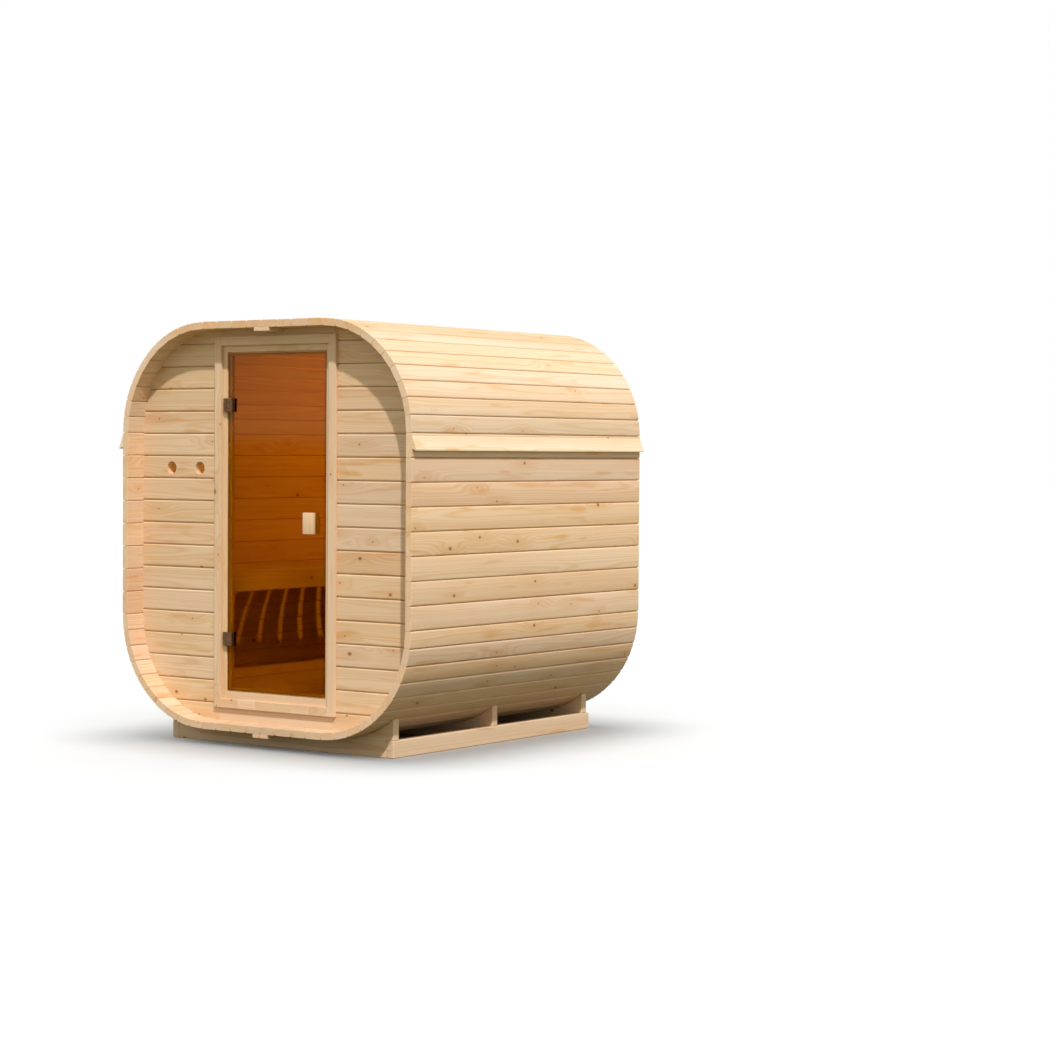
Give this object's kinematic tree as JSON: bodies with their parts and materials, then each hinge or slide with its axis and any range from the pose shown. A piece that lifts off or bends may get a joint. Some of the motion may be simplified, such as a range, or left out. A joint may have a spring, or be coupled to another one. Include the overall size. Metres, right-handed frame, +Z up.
{
  "type": "barrel sauna",
  "caption": "Small garden sauna cabin: rounded-square barrel of wooden staves on a timber base, recessed end walls, hinged tinted glass door, vents and a slatted bench inside.",
  "frame": {"origin": "on the ground under the middle of the shell", "axes": "+Z up, the front wall with the door faces -Y, +X to the right as seen from the front"},
  "size_m": [1.994, 2.022, 2.18],
  "materials": {
    "stave_wood": "planed natural softwood",
    "wall_wood": "planed natural softwood",
    "frame_wood": "planed natural softwood",
    "trim_wood": "planed natural softwood",
    "bench_wood": "sanded softwood",
    "base_wood": "planed natural softwood",
    "handle_wood": "sanded softwood",
    "bronze_glass": "bronze tinted, clear",
    "hinge_metal": "satin dark bronze"
  },
  "bodies": {
    "cabin": {"back_wall": "wall_wood", "bench_apron": "bench_wood", "bench_bearers": "bench_wood", "bench_slats": "bench_wood", "door_head": "frame_wood", "door_sill": "frame_wood", "floor_joint_lath": "trim_wood", "floor_staves": "stave_wood", "front_cradle": "base_wood", "front_vent_board": "wall_wood", "front_wall_left_lower": "wall_wood", "front_wall_left_upper": "wall_wood", "front_wall_over_door": "wall_wood", "front_wall_right": "wall_wood", "front_wall_under_door": "wall_wood", "head_casing": "frame_wood", "head_door_stop": "frame_wood", "hinge_brackets": "hinge_metal", "left_casing": "frame_wood", "left_door_stop": "frame_wood", "left_drip_board": "trim_wood", "left_jamb": "frame_wood", "left_runner": "base_wood", "left_side_staves": "stave_wood", "lower_left_corner_staves": "stave_wood", "lower_right_corner_staves": "stave_wood", "middle_cradle": "base_wood", "rear_cradle": "base_wood", "right_casing": "frame_wood", "right_door_stop": "frame_wood", "right_drip_board": "trim_wood", "right_jamb": "frame_wood", "right_runner": "base_wood", "right_side_staves": "stave_wood", "roof_joint_laths": "trim_wood", "roof_staves": "stave_wood", "sill_casing": "frame_wood", "sill_door_stop": "frame_wood", "upper_left_corner_staves": "stave_wood", "upper_right_corner_staves": "stave_wood"},
    "door": {"door_glass": "bronze_glass", "hinge_clamps": "hinge_metal", "hinge_back_plates": "hinge_metal", "outer_handle": "handle_wood", "inner_handle": "handle_wood"}
  },
  "joints": [
    {"name": "door_hinge", "type": "hinge", "parent": "cabin", "child": "door", "pos_m": [-0.332, -0.907, 1.15], "axis": [0, 0, -1], "range_deg": [0, 120]}
  ]
}
